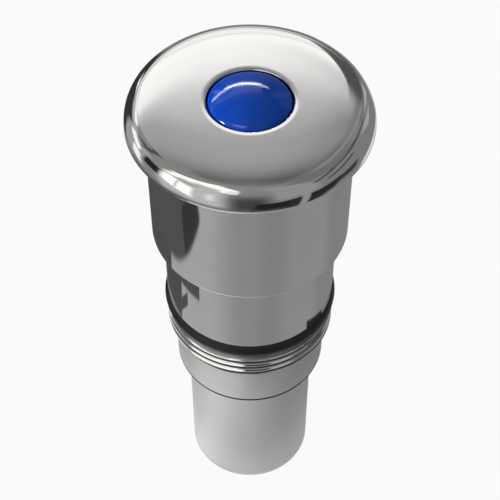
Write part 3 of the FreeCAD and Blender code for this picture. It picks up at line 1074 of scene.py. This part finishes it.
def studio_floor():
    """A wide square of paper that the object stands on."""
    half = floor_half * MM
    corners = [(-half, -half, 0), (half, -half, 0), (half, half, 0), (-half, half, 0)]
    mesh = bpy.data.meshes.new("floor")
    mesh.from_pydata(corners, [], [(0, 1, 2, 3)])
    staged("floor", mesh, pale_floor)


# Level of the room straight behind, by the elevation in degrees: a window of two panes, then the
# wall over it. The ramp holds levels up to 1, so they are divided by the scale and scaled again.
behind = [
    (0, 0.3), (23.5, 0.6), (26, 0.92), (29, 1.0), (31.4, 1.0), (32, 0.75), (32.6, 1.0), (35, 1.09),
    (38, 1.06), (41.3, 1.02), (42.1, 0.95), (42.6, 0.86), (43.2, 0.71), (43.8, 0.62), (45, 0.48),
    (46, 0.4), (48, 0.38), (51, 0.34), (55, 0.26), (59.5, 0.17), (62, 0.14), (64.5, 0.17),
    (67, 0.23),
]
strip_scale = 1.2
window_shape = (-6.4, 34.2, 19.6, 10, 1.5, 0)
wall_shape = (-1, 60, 17, 18.5, 6, 0)

# Soft panels and dark flags of the room in degrees, each over the ones before: azimuth from the
# back towards the right, elevation, half width, half height, softness, slope, level
panels = {
    "right_wall": (66, 4, 56, 44, 7, 0, 0.21),
    "right_ceiling": (64, 62, 54, 13, 6, 0, 0.17),
    "ceiling_line": (21.5, 50, 1.5, 12, 2, 0, 0.27),
    "front_right_wall": (142, 38, 17, 40, 6, 0, 0.3),
    "front_low": (160, -40, 45, 14, 14, 0, 0.055),
    "front_flag": (152, -24, 24, 10.5, 7, 0, 0.016),
    "front_left_low": (-168, -45, 24, 12, 12, 0, 0.1),
    "right_beam_start": (31, 44.5, 8, 2.2, 3, 0.3, 0.07),
    "right_beam": (65, 47, 27, 2.7, 3, 0, 0.065),
    "right_beam_end": (108, 37.5, 16, 3.5, 4, -0.5, 0.07),
    "right_shelf": (98, 20, 17, 3.5, 5, -0.4, 0.065),
    "right_low_flag": (98, -18.5, 12, 8, 8, 0, 0.045),
    "front_right_flag": (120, -23.5, 13, 11, 8, -0.2, 0.022),
    "front_right_gap": (144.5, -28, 5, 15, 5, 0, 0.03),
    "front_right_line": (136, 0, 3.5, 42, 3, 0, 0.3),
    "right_low_floor": (58, -42, 15, 12, 8, -0.2, 0.75),
    "right_streak": (30, 29, 5, 8, 4, -1.3, 0.44),
    "right_patch": (49, 28, 8, 10, 6, -0.2, 0.38),
    "right_floor": (22, -36, 15, 23, 16, 0, 0.95),
    "window_shade": (19, 22, 8, 7, 8, 0, 0.13),
    "window_jamb": (16.5, 32, 5.5, 8.5, 4, 0, 0.085),
    "left_wall": (-132, 0, 27, 50, 16, 0, 0.53),
    "left_curtain": (-149, -2, 3, 14, 7, 0, 0.8),
    "left_low_wall": (-122, -28, 16, 14, 14, 0, 0.5),
    "left_floor": (-112, -53, 52, 18, 12, 0, 0.14),
    "arch": (-130, 59, 37, 16, 5, 0.15, 1.15),
    "arch_opening": (-137, 42, 15, 12, 9, 0.1, 0.52),
    "arch_foot": (-163, 46, 6, 11, 6, 0, 0.85),
    "arch_post": (-107, 48, 6, 20, 5, 0, 1.1),
    "arch_corner": (-158, 76, 14, 9, 6, 0.6, 0.27),
    "left_window": (-120, 2, 14, 20, 7, 0.5, 1.15),
    "left_window_bar": (-120, 3, 1.2, 18, 2, 0, 0.65),
    "left_gap": (-93.5, 3, 9.5, 14, 4, 0, 0.02),
    "left_room": (-71, 2, 15.5, 30, 5, 0, 0.37),
    "left_low_flag": (-46, -22, 7, 11, 5, 0, 0.025),
    "left_shade": (-62, 41, 8.5, 6, 6, 0, 0.1),
    "left_rail": (-59, 48.3, 11, 2.3, 3, 0.5, 0.07),
    "left_rail_end": (-37, 53.8, 13, 1.8, 3, 0.05, 0.075),
    "window_glow": (-38, 34, 20, 5, 8, 0.2, 0.47),
    "left_board": (-69, 14, 10, 8, 4, 0.7, 1.05),
    "left_dark_line": (-72, 32, 2, 5, 3, 0, 0.09),
    "left_low_board": (-77.5, -15, 5.5, 11, 4, 0.4, 1.0),
    "back_left_flag": (-35.5, -2, 17.5, 29, 6, 0.2, 0.035),
    "back_left_floor": (-32, -47, 17, 10, 8, 0.4, 0.8),
    "back_wall": (-2.5, -4, 14.5, 29, 3, 0, 0.22),
    "window_side": (-32, 40.5, 10, 2.4, 3, 0.2, 1.05),
    "window_reveal": (-27.5, 24, 2.5, 5.5, 3, 0, 1.1),
    "arch_line": (-120, 30.5, 16, 1.6, 2, -0.25, 0.15),
}

# Dark bands of the card, in degrees and millimetres: azimuth from the front towards the right,
# distance from the axis, half width, half depth, softness, slope, level
card_bands = {
    "left_band": (-87, 75.7, 22.5, 3, 1, 0, 0.08),
    "left_notch": (-90, 67, 6, 2.5, 1, 0.4, 0.08),
    "right_band": (90, 57, 15, 4.7, 1, -0.12, 0.02),
}


def in_panel(azimuth, elevation, middle, height, half_width, half_height, softness, slope):
    """1 inside a soft-edged panel, 0 outside. A slope lets it climb to the right."""
    across = azimuth - middle
    along = elevation - height - across * slope if slope else elevation - height
    edge = softness / 2
    covered = abs(across).smooth(half_width + edge, half_width - edge)
    return covered * abs(along).smooth(half_height + edge, half_height - edge)


def blended(level, mask, other):
    """A level that gives way to another where the mask is 1."""
    return level * (1 - mask) + mask * other


def with_panels(level, azimuth, elevation, table):
    """A level with a table of panels laid over it."""
    for *shape, panel_level in table.values():
        level = blended(level, in_panel(azimuth, elevation, *shape), panel_level)
    return level


def room_level(recipe):
    """Brightness of the room that the object mirrors, by the direction from its head."""
    place = recipe.node("ShaderNodeTexCoord").of("Object")
    away = recipe.vector_math("SUBTRACT", place, (0, 0, head_height * MM))
    sideways, backward, upward = recipe.split(recipe.vector_math("NORMALIZE", away))
    azimuth = sideways.math("ARCTAN2", backward) * to_degrees
    elevation = upward.math("ARCSINE") * to_degrees
    in_front = abs(azimuth).smooth(155, 174) * elevation.smooth(50, -5)
    level = with_panels(0.25 - 0.19 * in_front, azimuth, elevation, panels)
    stops = [(angle / 90, bright / strip_scale) for angle, bright in behind]
    ramp = recipe.node("ShaderNodeValToRGB", {"Fac": elevation / 90}, stops=stops)
    strip = recipe.node("ShaderNodeSeparateColor", {"Color": ramp}) * strip_scale
    shade = 0.44 * elevation.smooth(34, 41) - 0.22 * elevation.smooth(42, 50)
    strip = strip * (1 - shade * azimuth.smooth(-2, 14))
    # The window's lower edge climbs towards both sides, and steeply at the right end
    sill = elevation - (azimuth + 1) ** 2 * 0.035 - (azimuth - 8.5).most(0) * 1.8
    window = in_panel(azimuth, sill, *window_shape)
    wall = in_panel(azimuth, elevation, *wall_shape)
    return blended(level, window.most(wall), strip)


def tent_glow(recipe):
    """Surroundings that only reflections see: a window behind, a room with a bright left side."""
    return glow(recipe, room_level(recipe))


def card_glow(recipe):
    """The floor as reflections see it: pale round the foot, greyer farther out, then the room."""
    across, along, _ = recipe.place_parts()
    distance = (across * across + along * along) ** 0.5
    azimuth = across.math("ARCTAN2", along * -1) * to_degrees
    # Under the satin body and cup: bright in front and on the left, dim on the right
    foot = 0.9 + 0.05 * azimuth.smooth(-10, -44) - 0.16 * azimuth.smooth(-60, -90)
    foot = foot - 0.53 * azimuth.smooth(-2, 48)
    near = -0.04 - 0.34 * azimuth.smooth(-80, 0) + 0.38 * azimuth.smooth(5, 45)
    foot = foot + near * distance.smooth(44, 32) + 0.16 * distance.smooth(28, 18)
    # What the thread's crests mirror: a bright sweep on the left, then dark, grey and dark
    ring = blended(blended(1.1, azimuth.smooth(-74, -82), 0.2), azimuth.smooth(-11, -4), 0.05)
    ring = blended(blended(ring, azimuth.smooth(20, 29), 0.38), azimuth.smooth(46, 58), 0.14)
    # What the sleeve and the skirt mirror: grey paper with dark shapes on it
    middle = 0.27 + 0.13 * azimuth.smooth(-8, -50) - 0.03 * azimuth.smooth(0, 22)
    middle = middle + 0.04 * azimuth.smooth(25, 50) - 0.05 * azimuth.smooth(80, 100)
    ring_end = distance + 3.5 * abs(azimuth).smooth(30, 90)
    level = blended(foot, distance.smooth(51, 53), ring)
    level = blended(level, ring_end.smooth(61, 63), middle)
    level = with_panels(level, azimuth, distance, card_bands)
    corner = across.smooth(-30, -38) * along.smooth(5, 8) * distance.smooth(58, 60)
    side = across.smooth(-85, -89) * along.smooth(-72, -63)
    block = in_panel(across, along, -98, -47, 10, 19, 5, 0)
    for mask, dark in ((corner, 0.08), (side, 0.085), (block, 0.04)):
        level = blended(level, mask, dark)
    return glow(recipe, blended(level, distance.smooth(*card_end), room_level(recipe)))


def reflected_only(prop):
    """Only reflections see it."""
    prop.visible_camera = False
    prop.visible_diffuse = False
    prop.visible_shadow = False
    prop.visible_transmission = False
    prop.visible_volume_scatter = False


def studio_tent():
    """The upper half of a ball round the studio, down to just under the floor."""
    mesh = bpy.data.meshes.new("tent")
    shell = bmesh.new()
    around, upward = tent_facets
    radius = tent_radius * MM
    bmesh.ops.create_uvsphere(shell, u_segments=around, v_segments=upward, radius=radius)
    below = [v for v in shell.verts if v.co.z < -tent_cut * MM]
    bmesh.ops.delete(shell, geom=below, context="VERTS")
    shell.to_mesh(mesh)
    shell.free()
    reflected_only(staged("tent", mesh, tent_glow))


def studio_card():
    """A flat ring just over the floor, from the foot to the tent."""
    mesh = bpy.data.meshes.new("card")
    vertices, faces = [], []
    for step in range(card_facets):
        angle = 2 * math.pi * step / card_facets
        for radius in (card_inner, tent_radius):
            point = (radius * math.cos(angle), radius * math.sin(angle), card_level)
            vertices.append([part * MM for part in point])
        start, onward = 2 * step, 2 * ((step + 1) % card_facets)
        faces.append((start, start + 1, onward + 1, onward))
    mesh.from_pydata(vertices, [], faces)
    reflected_only(staged("card", mesh, card_glow))


# Area lamps: azimuth from the back towards the right and elevation in degrees, width, depth,
# radiance, the one piece that it lights, if not all, and its roll
lamps = {
    "window_strip": (-6, 26, 600, 100, 13.0, index),
    "window_strip_right": (4, 27.2, 500, 70, 11.0, index, -13),
    "window_strip_left": (-23, 28.4, 750, 65, 11.0, index, 15),
    "side_lamp": (-109, 18, 280, 360, 40.0, index),
    "side_lamp_trail": (-140, 62, 500, 800, 2.5, index),
    "top_fill": (0, 80, 800, 800, 0.8),
}


def softbox(name, azimuth, elevation, width, depth, radiance, lit=None, roll=0):
    """An area lamp that faces the head. One for a single piece is oval and shows in its gloss."""
    turn, climb = math.radians(azimuth), math.radians(elevation)
    level_reach = math.cos(climb)
    away = Vector((math.sin(turn) * level_reach, math.cos(turn) * level_reach, math.sin(climb)))
    lamp = bpy.data.lights.new(name, "AREA")
    lamp.shape = "ELLIPSE" if lit else "RECTANGLE"
    lamp.size = width * MM
    lamp.size_y = depth * MM
    lamp.energy = radiance * lamp.size * lamp.size_y * math.pi * (math.pi / 4 if lit else 1)
    box = linked(name, lamp)
    box.location = Vector((0, 0, head_height * MM)) + away * lamp_distance * MM
    rolled = away.to_track_quat("Z", "Y") @ Quaternion((0, 0, 1), math.radians(roll))
    box.rotation_euler = rolled.to_euler()
    box.visible_glossy = lit is not None
    if lit:
        box.light_linking.receiver_collection = bpy.data.collections.new(name)
        box.light_linking.receiver_collection.objects.link(lit)


def surroundings():
    """The world: white where camera, metal or glass see it, a plain soft level as light."""
    world = bpy.data.worlds.new("surroundings")
    world.use_nodes = True
    world.node_tree.nodes.clear()
    recipe = Recipe(world.node_tree)
    paths = recipe.node("ShaderNodeLightPath")
    mirrored = paths.of("Is Glossy Ray").most(paths.of("Is Transmission Ray"))
    seen = paths.of("Is Camera Ray").most(mirrored)
    level = sky_light + (1 - sky_light) * seen
    sky = recipe.node("ShaderNodeBackground", {"Color": level, "Strength": 1.0})
    recipe.node("ShaderNodeOutputWorld", {"Surface": sky})
    bpy.context.scene.world = world


def camera():
    """The photograph's view, fitted to the outlines of the turned body."""
    lens = bpy.data.cameras.new("camera")
    lens.lens = camera_lens
    lens.sensor_width = camera_sensor
    eye = linked("camera", lens)
    eye.location = [part * MM for part in camera_place]
    eye.rotation_euler = (math.radians(camera_tilt), 0, 0)
    bpy.context.scene.camera = eye


studio_floor()
studio_tent()
studio_card()
for name, settings in lamps.items():
    softbox(name, *settings)
surroundings()
camera()
bpy.context.scene.view_settings.view_transform = "Standard"
